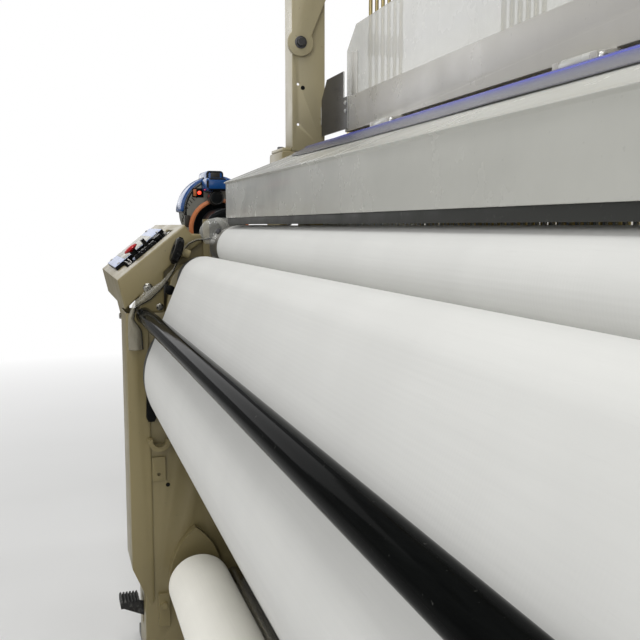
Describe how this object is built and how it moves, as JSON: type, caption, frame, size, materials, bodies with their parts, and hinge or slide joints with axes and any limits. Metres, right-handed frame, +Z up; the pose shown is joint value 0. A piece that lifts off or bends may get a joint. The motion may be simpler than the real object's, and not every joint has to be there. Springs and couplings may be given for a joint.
{
  "type": "power loom",
  "caption": "Shuttleless power loom with side frames, rocking reed, heald frames, rubber take-up rollers, warp beam, cloth roll, hinged hood and an operator box",
  "frame": {"origin": "on the floor, at the centre of the rectangle of the four foundation bolt holes", "axes": "+X along the loom to the right as the operator sees it, +Y from the operator to the warp beam, +Z up"},
  "size_m": [3.19, 1.5459, 2.112],
  "materials": {
    "frame_enamel": "semi-gloss enamel",
    "cream_enamel": "semi-gloss enamel",
    "grey_enamel": "semi-gloss enamel",
    "hood_enamel": "gloss enamel",
    "cast_iron": "painted casting",
    "black_casting": "semi-gloss black enamel",
    "grey_casting": "satin enamel",
    "blue_vinyl": "translucent vinyl",
    "clear_guard": "clear sheet",
    "clear_cup": "clear moulding",
    "clear_vinyl": "clear soft sheet",
    "panel_steel": "silver-blue enamel",
    "red_plastic": "gloss",
    "orange_plastic": "gloss",
    "black_plastic": "satin",
    "black_gloss": "gloss",
    "feeder_black": "gloss",
    "roller_steel": "turned",
    "dark_steel": "turned and painted",
    "reed_steel": "polished dents",
    "beam_metal": "turned",
    "alloy": "extruded",
    "heald_alloy": "gold anodised",
    "roller_rubber": "grained rubber",
    "belt_rubber": "matt",
    "pedal_rubber": "ribbed",
    "cloth": "fine plain weave",
    "cloth_roll": "wound cloth",
    "yarn": "parallel warp ends"
  },
  "bodies": {
    "machine_frame": {"left_side_frame": "frame_enamel", "right_side_frame": "frame_enamel", "machine_feet": "cast_iron", "leg_covers": "frame_enamel", "cross_beams": "frame_enamel", "columns": "cream_enamel", "column_arms": "cream_enamel", "top_beam": "cream_enamel", "upper_front_panel": "grey_enamel", "splash_guard": "clear_guard", "operator_box": "frame_enamel", "switch_plate": "panel_steel", "roller_brackets": "frame_enamel", "roller_end_cap": "clear_cup", "vinyl_cover": "clear_vinyl", "guard_tube": "black_gloss", "cloth_roll_bearings": "frame_enamel", "cloth_web": "cloth", "spreader_pipe": "roller_steel", "warp_sheet": "yarn", "heald_guides": "black_plastic", "return_spring_boxes": "cast_iron", "dobby_housing": "black_casting", "dobby_bracket": "cream_enamel", "drive_motor": "grey_casting", "drive_belt": "belt_rubber", "right_end_cover": "frame_enamel", "weft_feeder": "feeder_black", "weft_nozzle": "roller_steel", "stack_light": "black_plastic"},
    "hood": {"front_hood": "hood_enamel", "hood_seal_strip": "blue_vinyl"},
    "sley": {"sley_swords": "dark_steel", "sley_beam": "alloy", "reed": "reed_steel"},
    "breast": {"breast_roller": "roller_steel"},
    "guide": {"guide_roller": "roller_rubber"},
    "take_up": {"take_up_roller": "roller_rubber"},
    "press": {"press_roller": "roller_rubber"},
    "roll": {"cloth_roll": "cloth_roll"},
    "beam": {"warp_beam": "beam_metal", "warp_yarn": "yarn"},
    "back_rest": {"back_rest_roller": "roller_steel"},
    "drive": {"drive_pulley": "dark_steel"},
    "rotor": {"motor_pulley": "dark_steel"},
    "stop": {"stop_button": "red_plastic"},
    "start": {"start_button": "black_plastic"},
    "reverse": {"reverse_button": "black_plastic"},
    "selector": {"selector_switch": "black_plastic"},
    "right_stop": {"right_stop_button": "red_plastic"},
    "knob": {"upper_hand_knob": "black_plastic"},
    "clutch": {"clutch_lever": "black_plastic"},
    "pedal": {"foot_pedal": "pedal_rubber"},
    "feeder": {"feeder_ring": "orange_plastic"},
    "heald_1": {"heald_frame_1": "heald_alloy"},
    "heald_2": {"heald_frame_2": "heald_alloy"},
    "heald_3": {"heald_frame_3": "heald_alloy"},
    "heald_4": {"heald_frame_4": "heald_alloy"},
    "heald_5": {"heald_frame_5": "heald_alloy"},
    "heald_6": {"heald_frame_6": "heald_alloy"}
  },
  "joints": [
    {"name": "take_up_spin", "type": "hinge", "parent": "machine_frame", "child": "take_up", "pos_m": [0, -0.51999, 0.70005], "axis": [1, 0, 0], "continuous": true},
    {"name": "breast_spin", "type": "hinge", "parent": "machine_frame", "child": "breast", "pos_m": [0, -0.457, 0.9799], "axis": [1, 0, 0], "continuous": true},
    {"name": "guide_spin", "type": "hinge", "parent": "machine_frame", "child": "guide", "pos_m": [0, -0.5349, 0.90802], "axis": [1, 0, 0], "continuous": true},
    {"name": "press_spin", "type": "hinge", "parent": "machine_frame", "child": "press", "pos_m": [0, -0.38488, 0.83996], "axis": [1, 0, 0], "continuous": true},
    {"name": "cloth_roll_spin", "type": "hinge", "parent": "machine_frame", "child": "roll", "pos_m": [0, -0.557, 0.223], "axis": [1, 0, 0], "continuous": true},
    {"name": "back_rest_spin", "type": "hinge", "parent": "machine_frame", "child": "back_rest", "pos_m": [0, 0.64, 1.01], "axis": [1, 0, 0], "continuous": true},
    {"name": "warp_beam_spin", "type": "hinge", "parent": "machine_frame", "child": "beam", "pos_m": [0, 0.42, 0.52], "axis": [1, 0, 0], "continuous": true},
    {"name": "drive_spin", "type": "hinge", "parent": "machine_frame", "child": "drive", "pos_m": [0, 0.15, 0.48], "axis": [1, 0, 0], "continuous": true},
    {"name": "motor_spin", "type": "hinge", "parent": "machine_frame", "child": "rotor", "pos_m": [0, -0.23, 0.3], "axis": [1, 0, 0], "continuous": true},
    {"name": "sley_rock", "type": "hinge", "parent": "machine_frame", "child": "sley", "pos_m": [0, -0.25, 0.56], "axis": [1, 0, 0], "range_deg": [0, 9.4]},
    {"name": "hood_hinge", "type": "hinge", "parent": "machine_frame", "child": "hood", "pos_m": [0, -0.263, 1.217], "axis": [-1, 0, 0], "range_deg": [0, 70]},
    {"name": "heald_lift_1", "type": "slide", "parent": "machine_frame", "child": "heald_1", "axis": [0, 0, 1], "range_m": [-0.045, 0.045]},
    {"name": "heald_lift_2", "type": "slide", "parent": "machine_frame", "child": "heald_2", "axis": [0, 0, 1], "range_m": [-0.045, 0.045]},
    {"name": "heald_lift_3", "type": "slide", "parent": "machine_frame", "child": "heald_3", "axis": [0, 0, 1], "range_m": [-0.045, 0.045]},
    {"name": "heald_lift_4", "type": "slide", "parent": "machine_frame", "child": "heald_4", "axis": [0, 0, 1], "range_m": [-0.045, 0.045]},
    {"name": "heald_lift_5", "type": "slide", "parent": "machine_frame", "child": "heald_5", "axis": [0, 0, 1], "range_m": [-0.045, 0.045]},
    {"name": "heald_lift_6", "type": "slide", "parent": "machine_frame", "child": "heald_6", "axis": [0, 0, 1], "range_m": [-0.045, 0.045]},
    {"name": "stop_press", "type": "slide", "parent": "machine_frame", "child": "stop", "axis": [0, 0.6304, -0.7763], "range_m": [0, 0.005], "stiffness_N_per_m": 400, "springref_m": -0.005},
    {"name": "start_press", "type": "slide", "parent": "machine_frame", "child": "start", "axis": [0, 0.6304, -0.7763], "range_m": [0, 0.005], "stiffness_N_per_m": 400, "springref_m": -0.005},
    {"name": "reverse_press", "type": "slide", "parent": "machine_frame", "child": "reverse", "axis": [0, 0.6304, -0.7763], "range_m": [0, 0.005], "stiffness_N_per_m": 400, "springref_m": -0.005},
    {"name": "right_stop_press", "type": "slide", "parent": "machine_frame", "child": "right_stop", "axis": [0, 0.6304, -0.7763], "range_m": [0, 0.005], "stiffness_N_per_m": 400, "springref_m": -0.005},
    {"name": "selector_turn", "type": "hinge", "parent": "machine_frame", "child": "selector", "pos_m": [-1.15, -0.63218, 0.97906], "axis": [0, 0.6304, -0.7763], "range_deg": [-45, 45]},
    {"name": "hand_knob_turn", "type": "hinge", "parent": "machine_frame", "child": "knob", "pos_m": [-0.977, -0.582, 0.973], "axis": [0, -0.9455, 0.3256], "continuous": true},
    {"name": "clutch_swing", "type": "hinge", "parent": "machine_frame", "child": "clutch", "pos_m": [-0.998, -0.638, 0.735], "axis": [-1, 0, 0], "range_deg": [0, 40]},
    {"name": "pedal_press", "type": "hinge", "parent": "machine_frame", "child": "pedal", "pos_m": [-1.065, -0.646, 0.118], "axis": [1, 0, 0], "range_deg": [0, 12], "stiffness_Nm_per_rad": 6, "springref_deg": -17.19},
    {"name": "feeder_ring_spin", "type": "hinge", "parent": "machine_frame", "child": "feeder", "pos_m": [-1.34, -0.424, 1.021], "axis": [1, 0, 0], "continuous": true}
  ],
  "couplings": [
    {"joint": "breast_spin", "follows": "take_up_spin", "ratio": 3.0204},
    {"joint": "guide_spin", "follows": "take_up_spin", "ratio": 2.7407},
    {"joint": "press_spin", "follows": "take_up_spin", "ratio": -3.7},
    {"joint": "cloth_roll_spin", "follows": "take_up_spin", "ratio": -2.1143},
    {"joint": "back_rest_spin", "follows": "take_up_spin", "ratio": 2.4667},
    {"joint": "warp_beam_spin", "follows": "take_up_spin", "ratio": 0.44848},
    {"joint": "motor_spin", "follows": "drive_spin", "ratio": 3.3333}
  ]
}
